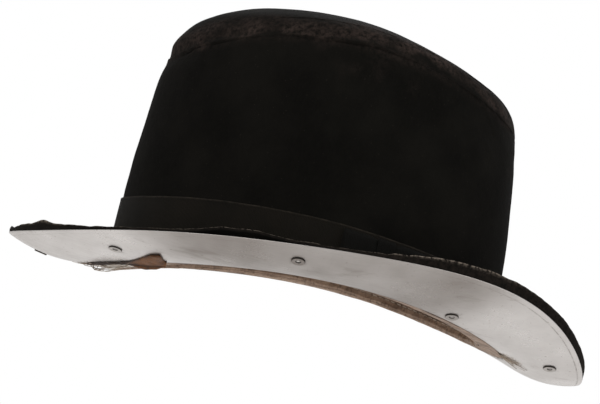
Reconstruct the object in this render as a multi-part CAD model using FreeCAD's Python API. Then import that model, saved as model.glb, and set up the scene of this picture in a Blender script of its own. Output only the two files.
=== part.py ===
import FreeCAD, Part
import math
import os

from FreeCAD import Vector

# Top hat with a metal plate riveted under its brim. Millimetres.
# +X points to the back of the hat, -Y to the wearer's left, +Z up along the crown.
# The origin is the middle of the brim's outline, at the lowest point of the plate.

# Outlines, as half length and half width of an oval
CROWN_HALF = (105.5, 87.0)          # outside of the crown at its foot
PLATE_OUTER_HALF = (160.0, 125.0)   # outer edge of brim and plate
PLATE_INNER_HALF = (116.0, 91.5)    # inner edge of the plate
FOOT_MARGIN = 2.5                   # the brim runs level this far out from the crown's foot

# Heights of the plate's underside round each outline: the terms multiply 1, cos t, cos 2t, ...
# with t = 0 at the back. The brim is low at front and back and high at the sides.
OPENING_LIFT = (14.18, 4.2, -8.1)
INNER_LIFT = (12.88, 3.45, -8.5, -0.95)
OUTER_LIFT = (22.98, 4.85, -15.2, -5.75, -2.75, -1.2)
SIDE_SAG = 2.6                      # how far the plate hangs between its edges, at the sides
BACK_SAG = 4.7
FRONT_SAG = 3.2
END_SAG_POWER = 16                  # the higher, the narrower the sag at back and front

# Thicknesses
PLATE_THICKNESS = 1.0
BOARD_THICKNESS = 1.0
FELT_THICKNESS = 1.6
CROWN_FELT_THICKNESS = 2.5
SHELL_THICKNESS = 1.2
LINING_THICKNESS = 0.35
SWEATBAND_THICKNESS = 1.3
RIBBON_THICKNESS = 0.8
LAYER_GAP = 0.12                    # glue line between two layers

# Brim edge
PLATE_REACHES = (2, 2.15, 2.3, 2.45, 2.6, 2.75, 2.87)
PLATE_BEVEL_WIDTH = 2.2
PLATE_BEVEL_HEIGHT = 0.45
LIP_HEIGHT = (5.0, 0.9, 1.3)        # top of the brim felt's curled edge above the plate's underside
LIP_WIDTH = 3.0
LIP_EDGE_DROP = 0.6                 # the lip's outer corner lies this far below its top
FLAP_RISE = 0.15                    # underside of the leather flap inside the plate
FLAP_END = 1.97                     # reach of its outer edge, just inside the plate

# Crown
CROWN_TOP = 164.2
TIP_EDGE_DROP = (31.6, -2.1, 11.0)  # how far the tip's edge lies below the top, round the oval
TIP_SLUMP = (0.06, 0.29)            # how far the dome sinks inside its edge, as a part of its drop
LENGTH_TAPER = 0.0008               # loss of half length, per square millimetre of height
WIDTH_TAPER = 0.0006
TAPER_START = 22.6
LEAN = -0.00025                     # the crown leans to the front, more towards its top
SHOULDER_SHARE = 0.35               # part of the tip's drop that falls in its rounded shoulder
SHOULDER_POWER = 24
TIP_RINGS = (1.0, 0.985, 0.96, 0.92, 0.86, 0.76, 0.62, 0.45, 0.25, 0.05)
SIDE_ROWS = 9

# Ribbon band and bow
BAND_TOP = (46.1, 0.0, -5.5)
BAND_START_ABOVE_BRIM = 0.4
BOW_ENDS = (7.5, 51.0)              # along X, on the wearer's left side
BOW_KNOT_WIDTH = 9.0
BOW_INSET = 1.5
LOOP_THICKNESS = 1.8
LOOP_GAP = 1.0                      # between the two loops, under the knot
BACKING_INSET = 4.0                 # the backing ends this far inside the loops

# Inside
SWEATBAND_HEIGHT = 38.0
LINING_START = 25.0                 # above the brim, hidden behind the sweatband
REED_SIZE = 1.6
REED_LIFT = 0.2                     # above the brim
REED_SIDES = 6
BACK_TAPE_WIDTH = 14.0
BACK_TAPE_THICKNESS = 0.6
BACK_TAPE_START = 3.0               # above the brim
BACK_TAPE_END = 37.0
TAB_ANGLE = -135.5                  # degrees, the loose leather tab at the front left
TAB_HALF_ANGLE = 6.5
TAB_THICKNESS = 1.2
TAB_REACHES = (1.1, 2.0, 2.15)
TAB_GAP = 0.4                       # below the plate

# Rivets
# Degrees round from the back, and reach across the plate
RIVET_PLACES = (
    (-19.1, 2.63), (-53.7, 2.15), (-94.9, 2.66), (-136.4, 2.53),
    (180.0, 2.57), (132.0, 2.42), (84.0, 2.50), (35.0, 2.40),
)
RIVET_HEAD_RADIUS = 3.5
RIVET_SHANK_RADIUS = 2.0
RIVET_RIM_HEIGHT = 0.6
RIVET_HEAD_GAP = 0.15
WASHER_RADIUS = 4.5
WASHER_THICKNESS = 0.6
RIVET_CLEARANCE = 0.4
DRILL_LENGTH = 24.0

# Layer depths, inwards from the outside of the crown
SHELL_DEPTH = CROWN_FELT_THICKNESS + LAYER_GAP
LINING_DEPTH = SHELL_DEPTH + SHELL_THICKNESS + LAYER_GAP
SWEATBAND_DEPTH = LINING_DEPTH + LINING_THICKNESS + LAYER_GAP
INSIDE_DEPTH = SWEATBAND_DEPTH + SWEATBAND_THICKNESS

# Layer heights, upwards from the plate's underside
BOARD_RISE = PLATE_THICKNESS + LAYER_GAP
FELT_RISE = BOARD_RISE + BOARD_THICKNESS + LAYER_GAP
BRIM_TOP_RISE = FELT_RISE + FELT_THICKNESS

OPENING_HALF = (CROWN_HALF[0] - LINING_DEPTH, CROWN_HALF[1] - LINING_DEPTH)
FOOT_HALF = (CROWN_HALF[0] + FOOT_MARGIN, CROWN_HALF[1] + FOOT_MARGIN)

CURVE_POINTS = 40
FULL_TURN = 2 * math.pi


def cosine_sum(terms, t):
    return sum(term * math.cos(order * t) for order, term in enumerate(terms))


def blend(low, high, share):
    return low + (high - low) * share


# Brim surface. reach is 0 at the head opening, 1 at the crown's foot, 2 at the plate's inner
# edge and 3 at the outer edge. rise is the height above the level of the plate's underside.
BRIM_RINGS = (
    (OPENING_HALF, OPENING_LIFT),
    (FOOT_HALF, OPENING_LIFT),
    (PLATE_INNER_HALF, INNER_LIFT),
    (PLATE_OUTER_HALF, OUTER_LIFT),
)


def sag_at(t):
    """How far the plate hangs below a straight line between its edges, halfway across."""
    back = ((1 + math.cos(t)) / 2) ** END_SAG_POWER
    front = ((1 - math.cos(t)) / 2) ** END_SAG_POWER
    return SIDE_SAG * math.sin(t) ** 2 + BACK_SAG * back + FRONT_SAG * front


def brim_point(t, reach, rise):
    ring = min(int(reach), len(BRIM_RINGS) - 2)
    share = reach - ring
    (inner_half, inner_lift) = BRIM_RINGS[ring]
    (outer_half, outer_lift) = BRIM_RINGS[ring + 1]
    half_length = blend(inner_half[0], outer_half[0], share)
    half_width = blend(inner_half[1], outer_half[1], share)
    height = blend(cosine_sum(inner_lift, t), cosine_sum(outer_lift, t), share)
    if ring == 2:
        height -= sag_at(t) * 4 * share * (1 - share)
    return Vector(half_length * math.cos(t), half_width * math.sin(t), height + rise)


def brim_normal(t, reach):
    step = 0.01
    along = brim_point(t + step, reach, 0) - brim_point(t - step, reach, 0)
    across = brim_point(t, reach + step, 0) - brim_point(t, reach - step, 0)
    return across.cross(along).normalize()


# Crown surface. depth is measured inwards from the outside of the felt.
def lean_at(z):
    return LEAN * z ** 2


def crown_wall_point(t, z, depth):
    below = (z - TAPER_START) ** 2
    half_length = CROWN_HALF[0] - LENGTH_TAPER * below - depth
    half_width = CROWN_HALF[1] - WIDTH_TAPER * below - depth
    return Vector(lean_at(z) + half_length * math.cos(t), half_width * math.sin(t), z)


def tip_edge_height(t, depth):
    return CROWN_TOP - depth - cosine_sum(TIP_EDGE_DROP, t)


def tip_point(t, ring, depth):
    edge = crown_wall_point(t, tip_edge_height(t, depth), depth)
    centre = lean_at(CROWN_TOP)
    drop = cosine_sum(TIP_EDGE_DROP, t)
    slump = cosine_sum(TIP_SLUMP, t)
    if ring == TIP_RINGS[-1]:
        drop = TIP_EDGE_DROP[0]
        slump = TIP_SLUMP[0]
    share = (1 - SHOULDER_SHARE) * ring ** 2 + SHOULDER_SHARE * ring ** SHOULDER_POWER
    share = share + slump * ring ** 2 * (1 - ring ** 2)
    return Vector(blend(centre, edge.x, ring), edge.y * ring, CROWN_TOP - depth - drop * share)


def foot_height(t):
    return cosine_sum(OPENING_LIFT, t)


# Solids from closed curves
def closed_curve(point_at):
    points = [point_at(FULL_TURN * step / CURVE_POINTS) for step in range(CURVE_POINTS)]
    curve = Part.BSplineCurve()
    curve.interpolate(Points=points, PeriodicFlag=True)
    return curve.toShape()


def open_curve(point_at, start, end, count=9):
    points = [point_at(blend(start, end, step / (count - 1))) for step in range(count)]
    curve = Part.BSplineCurve()
    curve.interpolate(points)
    return curve.toShape()


def solid_from_faces(faces):
    skin = Part.makeCompound(faces)
    skin.sewShape(0.001)
    solid = Part.Solid(skin.Shells[0])
    if solid.Volume < 0:
        solid.reverse()
    return solid


def ring_solid(corners):
    """A closed ring whose cross-section is the polygon of the corners, each a function of t."""
    edges = [closed_curve(corner) for corner in corners]
    faces = [Part.makeRuledSurface(edges[i - 1], edges[i]) for i in range(len(edges))]
    return solid_from_faces(faces)


def cap_solid(outer_depth, inner_depth):
    """The domed tip between two depths."""
    rows = [(ring, outer_depth) for ring in reversed(TIP_RINGS)]
    rows += [(ring, inner_depth) for ring in TIP_RINGS]
    edges = [closed_curve(lambda t, row=row: tip_point(t, row[0], row[1])) for row in rows]
    faces = [Part.makeRuledSurface(edges[i], edges[i + 1]) for i in range(len(edges) - 1)]
    faces.append(Part.Face(Part.Wire(edges[0])))
    faces.append(Part.Face(Part.Wire(edges[-1])))
    return solid_from_faces(faces)


def wall_solid(low_height, high_height, outer_depth, inner_depth, rows=SIDE_ROWS):
    """A ring of the crown's wall between two heights, given as functions of t and depth."""
    corners = []
    for (depth, shares) in ((outer_depth, range(rows)), (inner_depth, reversed(range(rows)))):
        for share in shares:
            def corner(t, depth=depth, share=share / (rows - 1)):
                z = blend(low_height(t, depth), high_height(t, depth), share)
                return crown_wall_point(t, z, depth)
            corners.append(corner)
    return ring_solid(corners)


def sector_solid(corners, start, end):
    """A short length of a ring. Its corners run along the bottom and back along the top."""
    edges = [open_curve(corner, start, end) for corner in corners]
    faces = [Part.makeRuledSurface(edges[i - 1], edges[i]) for i in range(len(edges))]
    half = len(corners) // 2
    bottom = corners[:half]
    top = corners[:half - 1:-1]
    for t in (start, end):
        for i in range(half - 1):
            low = Part.LineSegment(bottom[i](t), bottom[i + 1](t)).toShape()
            high = Part.LineSegment(top[i](t), top[i + 1](t)).toShape()
            faces.append(Part.makeRuledSurface(low, high))
    return solid_from_faces(faces)


def brim_ring(bottom, top):
    """A ring of the brim. bottom and top list (reach, rise) from the inside to the outside."""
    outline = list(bottom) + list(reversed(top))
    corners = []
    for (reach, rise) in outline:
        def corner(t, reach=reach, rise=rise):
            height = rise(t) if callable(rise) else rise
            return brim_point(t, reach, height)
        corners.append(corner)
    return ring_solid(corners)


def reach_from_edge(distance):
    """The reach that lies a distance inside the outer edge."""
    return 3 - distance / (PLATE_OUTER_HALF[0] - PLATE_INNER_HALF[0])


# Rivets
def rivet_places():
    return [(math.radians(degrees), reach) for (degrees, reach) in RIVET_PLACES]


def stack_height(place):
    """Thickness of the brim along its own normal at a rivet."""
    return BRIM_TOP_RISE * brim_normal(*place).z


def placed(shape, place):
    """Move a shape from the origin to a rivet's place, with +Z along the brim's normal."""
    turn = FreeCAD.Rotation(Vector(0, 0, 1), brim_normal(*place))
    shape.Placement = FreeCAD.Placement(brim_point(*place, 0), turn)
    return shape


def revolved(profile):
    wire = Part.makePolygon([Vector(r, 0, z) for (r, z) in profile + profile[:1]])
    return Part.Face(wire).revolve(Vector(0, 0, 0), Vector(0, 0, 1), 360)


def make_rivet(place):
    top = stack_height(place) + RIVET_CLEARANCE + WASHER_THICKNESS
    seat = -RIVET_HEAD_GAP
    rim = seat - RIVET_RIM_HEIGHT
    profile = [
        (0, seat - 0.1),
        (1.0, seat - 0.1),
        (1.4, seat - 0.3),
        (2.4, seat - 0.3),
        (2.7, rim),
        (3.2, rim),
        (RIVET_HEAD_RADIUS, seat - 0.3),
        (RIVET_HEAD_RADIUS, seat),
        (RIVET_SHANK_RADIUS, seat),
        (RIVET_SHANK_RADIUS, top + RIVET_CLEARANCE),
        (2.9, top + RIVET_CLEARANCE),
        (2.5, top + 0.7),
        (1.0, top + 0.8),
        (0, top + 0.3),
    ]
    return placed(revolved(profile), place)


def make_washer(place):
    low = stack_height(place) + RIVET_CLEARANCE
    ring = Part.makeCylinder(WASHER_RADIUS, WASHER_THICKNESS, Vector(0, 0, low))
    start = Vector(0, 0, low - WASHER_THICKNESS)
    hole = Part.makeCylinder(RIVET_SHANK_RADIUS + LAYER_GAP, 3 * WASHER_THICKNESS, start)
    return placed(ring.cut(hole), place)


def with_rivet_holes(shape):
    for place in rivet_places():
        start = Vector(0, 0, -DRILL_LENGTH / 3)
        drill = Part.makeCylinder(RIVET_SHANK_RADIUS + LAYER_GAP, DRILL_LENGTH, start)
        shape = shape.cut(placed(drill, place))
    return shape


# Brim parts
def brim_plate():
    bevel = reach_from_edge(PLATE_BEVEL_WIDTH)
    bottom = [(reach, 0) for reach in PLATE_REACHES + (bevel,)] + [(3, PLATE_BEVEL_HEIGHT)]
    top = [(reach, PLATE_THICKNESS) for reach in PLATE_REACHES + (reach_from_edge(LIP_WIDTH), 3)]
    return with_rivet_holes(brim_ring(bottom, top))


def brim_board():
    reaches = (0, 1) + PLATE_REACHES + (reach_from_edge(LIP_WIDTH),)
    bottom = [(reach, BOARD_RISE) for reach in reaches]
    top = [(reach, BOARD_RISE + BOARD_THICKNESS) for reach in reaches]
    return with_rivet_holes(brim_ring(bottom, top))


def lip_top(t):
    return cosine_sum(LIP_HEIGHT, t)


def brim_felt():
    foot = 1 - (FOOT_MARGIN - LAYER_GAP) / (FOOT_HALF[0] - OPENING_HALF[0])
    lip = reach_from_edge(LIP_WIDTH - 2 * LAYER_GAP)
    under = [(reach, FELT_RISE) for reach in (foot, 1) + PLATE_REACHES]
    under += [(lip, FELT_RISE), (lip, BOARD_RISE), (3, BOARD_RISE)]
    over = [(reach, BRIM_TOP_RISE) for reach in (foot, 1) + PLATE_REACHES]
    over += [(reach_from_edge(1.4 * LIP_WIDTH), BRIM_TOP_RISE)]
    over += [(reach_from_edge(0.5 * LIP_WIDTH), lip_top), (3, lambda t: lip_top(t) - LIP_EDGE_DROP)]
    return with_rivet_holes(brim_ring(under, over))


def sweatband_flap():
    """The sweatband's leather, turned out under the brim as far as the plate."""
    reaches = (0, 1, FLAP_END)
    bottom = [(reach, FLAP_RISE) for reach in reaches]
    top = [(reach, PLATE_THICKNESS) for reach in reaches]
    return brim_ring(bottom, top)


# Crown parts
def crown_foot(t, depth):
    return foot_height(t) + FELT_RISE


def wall_top(t, depth):
    return tip_edge_height(t, depth) - LAYER_GAP


def crown_side_felt():
    return wall_solid(crown_foot, wall_top, 0, CROWN_FELT_THICKNESS)


def crown_side_shell():
    return wall_solid(crown_foot, wall_top, SHELL_DEPTH, SHELL_DEPTH + SHELL_THICKNESS)


def lining_side():
    return wall_solid(
        lambda t, depth: foot_height(t) + LINING_START,
        wall_top,
        LINING_DEPTH,
        LINING_DEPTH + LINING_THICKNESS,
    )


# Band and bow
def band_top(t, depth):
    return cosine_sum(BAND_TOP, t)


def band_foot(t, depth):
    return foot_height(t) + BRIM_TOP_RISE + BAND_START_ABOVE_BRIM


def hat_band():
    return wall_solid(band_foot, band_top, -LAYER_GAP - RIBBON_THICKNESS, -LAYER_GAP, rows=3)


def angle_at(x, depth):
    """The angle on the wearer's left side where the wall is x behind the middle."""
    middle = band_top(-math.pi / 2, 0)
    reach = crown_wall_point(0, middle, depth).x - lean_at(middle)
    return -math.acos((x - lean_at(middle)) / reach)


def ribbon_piece(start_x, end_x, inner_depth, outer_depth, inset):
    """A flat piece of ribbon on the crown's left side, between two places along X."""
    def corner(depth, at_top):
        def point(t):
            z = band_top(t, depth) - inset if at_top else band_foot(t, depth) + inset
            return crown_wall_point(t, z, depth)
        return point
    corners = [
        corner(outer_depth, False),
        corner(inner_depth, False),
        corner(inner_depth, True),
        corner(outer_depth, True),
    ]
    return sector_solid(corners, angle_at(start_x, inner_depth), angle_at(end_x, inner_depth))


BOW_MIDDLE = sum(BOW_ENDS) / 2
BACKING_DEPTH = -RIBBON_THICKNESS - 2 * LAYER_GAP
LOOP_DEPTH = BACKING_DEPTH - RIBBON_THICKNESS - LAYER_GAP
KNOT_DEPTH = LOOP_DEPTH - LOOP_THICKNESS - LAYER_GAP


def bow_backing():
    return ribbon_piece(
        BOW_ENDS[0] + BACKING_INSET,
        BOW_ENDS[1] - BACKING_INSET,
        BACKING_DEPTH,
        BACKING_DEPTH - RIBBON_THICKNESS,
        BOW_INSET + 1,
    )


def bow_loop(start_x, end_x):
    return ribbon_piece(start_x, end_x, LOOP_DEPTH, LOOP_DEPTH - LOOP_THICKNESS, BOW_INSET)


def bow_front_loop():
    return bow_loop(BOW_ENDS[0], BOW_MIDDLE - LOOP_GAP / 2)


def bow_back_loop():
    return bow_loop(BOW_MIDDLE + LOOP_GAP / 2, BOW_ENDS[1])


def bow_knot():
    half = BOW_KNOT_WIDTH / 2
    return ribbon_piece(
        BOW_MIDDLE - half,
        BOW_MIDDLE + half,
        KNOT_DEPTH,
        KNOT_DEPTH - RIBBON_THICKNESS,
        BOW_INSET,
    )


# Inside parts
def sweatband_foot(t, depth):
    return foot_height(t) + REED_LIFT + REED_SIZE + 2 * LAYER_GAP


def sweatband():
    return wall_solid(
        sweatband_foot,
        lambda t, depth: foot_height(t) + SWEATBAND_HEIGHT,
        SWEATBAND_DEPTH,
        INSIDE_DEPTH,
        rows=4,
    )


def sweatband_reed():
    """A thin strip along the sweatband's lower edge, with its corners cut off."""
    radius = REED_SIZE / 2
    middle_depth = (SWEATBAND_DEPTH + INSIDE_DEPTH) / 2
    corners = []
    for side in range(REED_SIDES):
        turn = FULL_TURN * side / REED_SIDES
        def corner(t, turn=turn):
            z = foot_height(t) + REED_LIFT + radius + radius * math.sin(turn)
            return crown_wall_point(t, z, middle_depth + radius * math.cos(turn))
        corners.append(corner)
    return ring_solid(corners)


def sweatband_back_tape():
    depth = INSIDE_DEPTH + LAYER_GAP
    half_angle = BACK_TAPE_WIDTH / 2 / CROWN_HALF[1]
    def corner(inward, height):
        return lambda t: crown_wall_point(t, foot_height(t) + height, depth + inward)
    corners = [
        corner(0, BACK_TAPE_START),
        corner(BACK_TAPE_THICKNESS, BACK_TAPE_START),
        corner(BACK_TAPE_THICKNESS, BACK_TAPE_END),
        corner(0, BACK_TAPE_END),
    ]
    return sector_solid(corners, -half_angle, half_angle)


def leather_tab():
    """A torn tab of sweatband leather, folded out under the plate's inner edge."""
    middle = math.radians(TAB_ANGLE)
    half = math.radians(TAB_HALF_ANGLE)
    def corner(reach, rise):
        return lambda t: brim_point(t, reach, rise)
    lower = [corner(reach, -TAB_GAP - TAB_THICKNESS) for reach in TAB_REACHES]
    upper = [corner(reach, -TAB_GAP) for reach in reversed(TAB_REACHES)]
    return sector_solid(lower + upper, middle - half, middle + half)


NODES = {
    "brim_plate": brim_plate,
    "brim_board": brim_board,
    "brim_felt": brim_felt,
    "sweatband_flap": sweatband_flap,
    "crown_side_felt": crown_side_felt,
    "crown_tip_felt": lambda: cap_solid(0, CROWN_FELT_THICKNESS),
    "crown_side_shell": crown_side_shell,
    "crown_tip_shell": lambda: cap_solid(SHELL_DEPTH, SHELL_DEPTH + SHELL_THICKNESS),
    "lining_side": lining_side,
    "lining_tip": lambda: cap_solid(LINING_DEPTH, LINING_DEPTH + LINING_THICKNESS),
    "hat_band": hat_band,
    "bow_backing": bow_backing,
    "bow_front_loop": bow_front_loop,
    "bow_back_loop": bow_back_loop,
    "bow_knot": bow_knot,
    "sweatband": sweatband,
    "sweatband_reed": sweatband_reed,
    "sweatband_back_tape": sweatband_back_tape,
    "leather_tab": leather_tab,
    "brim_rivets": lambda: Part.makeCompound([make_rivet(place) for place in rivet_places()]),
    "rivet_washers": lambda: Part.makeCompound([make_washer(place) for place in rivet_places()]),
}

os.makedirs("parts", exist_ok=True)
for (name, make) in NODES.items():
    shape = make()
    box = shape.BoundBox
    print(name, shape.ShapeType, "valid", shape.isValid(), "solids", len(shape.Solids),
          "cm3 %.2f" % (shape.Volume / 1000), "z %.1f..%.1f" % (box.ZMin, box.ZMax))
    shape.exportStep("parts/" + name + ".step")
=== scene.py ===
import math

import bpy
import numpy as np
from mathutils import Matrix, Vector


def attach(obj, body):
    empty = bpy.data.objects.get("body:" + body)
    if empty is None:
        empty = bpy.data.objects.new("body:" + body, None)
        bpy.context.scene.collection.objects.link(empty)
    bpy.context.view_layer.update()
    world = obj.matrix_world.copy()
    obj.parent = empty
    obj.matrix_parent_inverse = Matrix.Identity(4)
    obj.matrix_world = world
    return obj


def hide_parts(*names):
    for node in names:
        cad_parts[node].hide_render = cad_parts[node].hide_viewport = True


# Old top hat: felt over a stiff shell, a ribbon band with a flat bow, and a metal plate under the brim.
# Shapes are worked out in millimetres and turned into metres when a mesh is made.
# Angles t run round the hat from its back; -90 degrees is the wearer's left.

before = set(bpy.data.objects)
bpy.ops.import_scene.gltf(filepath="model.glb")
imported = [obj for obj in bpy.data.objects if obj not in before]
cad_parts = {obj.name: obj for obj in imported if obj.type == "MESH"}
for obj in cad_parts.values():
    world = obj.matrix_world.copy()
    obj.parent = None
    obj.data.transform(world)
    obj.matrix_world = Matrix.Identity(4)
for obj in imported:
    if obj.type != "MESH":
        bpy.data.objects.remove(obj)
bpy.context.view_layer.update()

MM = 0.001
FULL_TURN = 2 * math.pi
COLUMNS = 720          # round the hat
FINE_COLUMNS = 1080    # for ragged edges

# The CAD model's own sizes
CROWN_HALF = (105.5, 87.0)
PLATE_OUTER_HALF = (160.0, 125.0)
PLATE_INNER_HALF = (116.0, 91.5)
FOOT_MARGIN = 2.5
OPENING_LIFT = (14.18, 4.2, -8.1)
INNER_LIFT = (12.88, 3.45, -8.5, -0.95)
OUTER_LIFT = (22.98, 4.85, -15.2, -5.75, -2.75, -1.2)
SIDE_SAG = 2.6
BACK_SAG = 4.7
FRONT_SAG = 3.2
END_SAG_POWER = 16
PLATE_THICKNESS = 1.0
CROWN_FELT_THICKNESS = 2.5
RIBBON_THICKNESS = 0.8
LAYER_GAP = 0.12
BOARD_RISE = 1.12
FELT_RISE = 2.24
BRIM_TOP_RISE = 3.84
LINING_DEPTH = 3.94
LINING_THICKNESS = 0.35
SWEATBAND_DEPTH = 4.41
SWEATBAND_THICKNESS = 1.3
LIP_WIDTH = 3.0                         # of the felt's curled edge
CROWN_TOP = 164.2
TIP_EDGE_DROP = (31.6, -2.1, 11.0)
TIP_SLUMP = (0.06, 0.29)
LENGTH_TAPER = 0.0008
WIDTH_TAPER = 0.0006
TAPER_START = 22.6
LEAN = -0.00025
SHOULDER_SHARE = 0.35
SHOULDER_POWER = 24
BAND_TOP = (46.1, 0.0, -5.5)
BAND_START_ABOVE_BRIM = 0.4
BOW_ENDS = (7.5, 51.0)
BOW_KNOT_WIDTH = 9.0
BOW_INSET = 1.5
LOOP_THICKNESS = 1.8
LINING_START = 25.0
SWEATBAND_HEIGHT = 38.0
RIVET_PLACES = (
    (-19.1, 2.63), (-53.7, 2.15), (-94.9, 2.66), (-136.4, 2.53),
    (180.0, 2.57), (132.0, 2.42), (84.0, 2.50), (35.0, 2.40),
)

OPENING_HALF = (CROWN_HALF[0] - LINING_DEPTH, CROWN_HALF[1] - LINING_DEPTH)
FOOT_HALF = (CROWN_HALF[0] + FOOT_MARGIN, CROWN_HALF[1] + FOOT_MARGIN)
BRIM_RINGS = (
    (OPENING_HALF, OPENING_LIFT),
    (FOOT_HALF, OPENING_LIFT),
    (PLATE_INNER_HALF, INNER_LIFT),
    (PLATE_OUTER_HALF, OUTER_LIFT),
)


# Plain sums
def blend(low, high, share):
    return low + (high - low) * share


def smooth(low, high, value):
    """0 below low, 1 above high, and an even slope between."""
    share = np.clip((value - low) / (high - low), 0, 1)
    return share * share * (3 - 2 * share)


def hump(value, middle, half_width):
    return np.exp(-((value - middle) / half_width) ** 2)


def cosine_sum(terms, t):
    return sum(term * np.cos(order * t) for order, term in enumerate(terms))


def all_round(count=COLUMNS):
    return FULL_TURN * np.arange(count) / count


def turn_from(t, degrees=0):
    """How far t lies from an angle, in degrees from -180 to 180."""
    return (np.degrees(t) - degrees + 180) % 360 - 180


def cell_value(cell, seed):
    """A fixed value from -1 to 1 for each whole-numbered cell."""
    c = cell.astype(np.uint32)
    mixed = c[..., 0] * np.uint32(374761393) + c[..., 1] * np.uint32(668265263)
    mixed = mixed + c[..., 2] * np.uint32(2246822519) + np.uint32(seed * 7919 + 17)
    mixed = (mixed ^ (mixed >> np.uint32(13))) * np.uint32(1274126177)
    mixed = (mixed ^ (mixed >> np.uint32(15))) * np.uint32(2654435769)
    mixed = mixed ^ (mixed >> np.uint32(16))
    return (mixed & np.uint32(0xFFFF)).astype(float) / 32767.5 - 1


def noise(points, size, seed):
    """Smooth noise from -1 to 1 that changes over size millimetres, the same each run."""
    scaled = points / size + 1000
    cell = np.floor(scaled).astype(np.int64)
    share = scaled - cell
    share = share * share * (3 - 2 * share)
    total = np.zeros(points.shape[:-1])
    for corner in range(8):
        step = np.array([corner & 1, corner >> 1 & 1, corner >> 2 & 1])
        weight = np.prod(np.where(step == 1, share, 1 - share), axis=-1)
        total += weight * cell_value(cell + step, seed)
    return total


def layered_noise(points, size, seed):
    total = sum(noise(points, size / 2 ** i, seed + i) / 2 ** i for i in range(3))
    return total / 1.5


# Surfaces, as arrays of points in millimetres
def sag_at(t):
    """How far the plate hangs below a straight line between its edges, halfway across."""
    back = ((1 + np.cos(t)) / 2) ** END_SAG_POWER
    front = ((1 - np.cos(t)) / 2) ** END_SAG_POWER
    return SIDE_SAG * np.sin(t) ** 2 + BACK_SAG * back + FRONT_SAG * front


def brim_points(t, reach, rise):
    """reach is 0 at the head opening, 1 just outside the crown's foot, 2 and 3 at the plate's edges."""
    ring = min(int(reach), len(BRIM_RINGS) - 2)
    share = reach - ring
    (inner_half, inner_lift) = BRIM_RINGS[ring]
    (outer_half, outer_lift) = BRIM_RINGS[ring + 1]
    half_length = blend(inner_half[0], outer_half[0], share)
    half_width = blend(inner_half[1], outer_half[1], share)
    height = blend(cosine_sum(inner_lift, t), cosine_sum(outer_lift, t), share)
    if ring == 2:
        height = height - sag_at(t) * 4 * share * (1 - share)
    return np.stack([half_length * np.cos(t), half_width * np.sin(t), height + rise], axis=-1)


def brim_rows(t, profile):
    """Rows of brim points for a list of (reach, rise)."""
    return np.array([brim_points(t, reach, rise) for (reach, rise) in profile])


def reach_from_edge(distance):
    return 3 - distance / (PLATE_OUTER_HALF[0] - PLATE_INNER_HALF[0])


def reach_from_inner_edge(distance):
    return 2 + distance / (PLATE_OUTER_HALF[0] - PLATE_INNER_HALF[0])


def lean_at(z):
    return LEAN * z ** 2


def wall_points(t, z, depth):
    """The crown's wall; depth runs inwards from the outside of the felt."""
    below = (z - TAPER_START) ** 2
    half_length = CROWN_HALF[0] - LENGTH_TAPER * below - depth
    half_width = CROWN_HALF[1] - WIDTH_TAPER * below - depth
    x = lean_at(z) + half_length * np.cos(t)
    return np.stack([x, half_width * np.sin(t), z + np.zeros_like(x)], axis=-1)


def tip_edge_height(t, depth=0.0):
    return CROWN_TOP - depth - cosine_sum(TIP_EDGE_DROP, t)


def tip_points(t, ring, depth):
    edge = wall_points(t, tip_edge_height(t, depth), depth)
    drop = blend(TIP_EDGE_DROP[0], cosine_sum(TIP_EDGE_DROP, t), smooth(0.0, 0.3, ring))
    share = (1 - SHOULDER_SHARE) * ring ** 2 + SHOULDER_SHARE * ring ** SHOULDER_POWER
    share = share + cosine_sum(TIP_SLUMP, t) * ring ** 2 * (1 - ring ** 2)
    x = blend(lean_at(CROWN_TOP), edge[..., 0], ring)
    z = CROWN_TOP - depth - drop * share
    return np.stack([x, edge[..., 1] * ring, z], axis=-1)


def foot_height(t):
    return cosine_sum(OPENING_LIFT, t)


def band_top(t):
    return cosine_sum(BAND_TOP, t)


def band_foot(t):
    return foot_height(t) + BRIM_TOP_RISE + BAND_START_ABOVE_BRIM


def grid_normals(rows):
    """Unit normals of a grid that closes round the hat.

    They point out of the hat where rows run up the wall, and into it where rows run from the
    tip's middle to its edge.
    """
    along = np.roll(rows, -1, axis=1) - np.roll(rows, 1, axis=1)
    normals = np.cross(along, np.gradient(rows, axis=0))
    return normals / np.maximum(np.linalg.norm(normals, axis=-1, keepdims=True), 1e-9)


# Meshes
def signed_volume(points, faces):
    total = 0.0
    for i in range(1, faces.shape[1] - 1):
        a, b, c = (points[faces[:, j]] for j in (0, i, i + 1))
        total += float((a * np.cross(b, c)).sum())
    return total / 6


def new_object(name, points, faces, uv=None, values=None):
    """An object in metres from points in millimetres; faces lists the point numbers of each face."""
    mesh = bpy.data.meshes.new(name)
    mesh.from_pydata((points * MM).tolist(), [], faces)
    if uv is not None:
        layer = mesh.uv_layers.new(name="length_map")
        layer.data.foreach_set("uv", np.asarray(uv, dtype=np.float32).ravel())
    for (key, array) in (values or {}).items():
        attribute = mesh.attributes.new(key, "FLOAT", "POINT")
        attribute.data.foreach_set("value", np.asarray(array, dtype=np.float32).ravel())
    mesh.shade_smooth()
    mesh.update()
    piece = bpy.data.objects.new(name, mesh)
    bpy.context.scene.collection.objects.link(piece)
    return piece


def then_zeros(values, rows):
    """A value for each point of some rows, followed by zeros for the points of more rows."""
    return np.concatenate([values, np.zeros(rows.shape[:2])])


def lengths_along(rows, axis):
    """Mean distance in metres along one axis of a grid, at each of its lines and back at the first."""
    steps = np.diff(rows, axis=axis, append=np.take(rows, [0], axis=axis))
    return np.append(0, np.cumsum(np.linalg.norm(steps, axis=-1).mean(axis=1 - axis))) * MM


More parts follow.
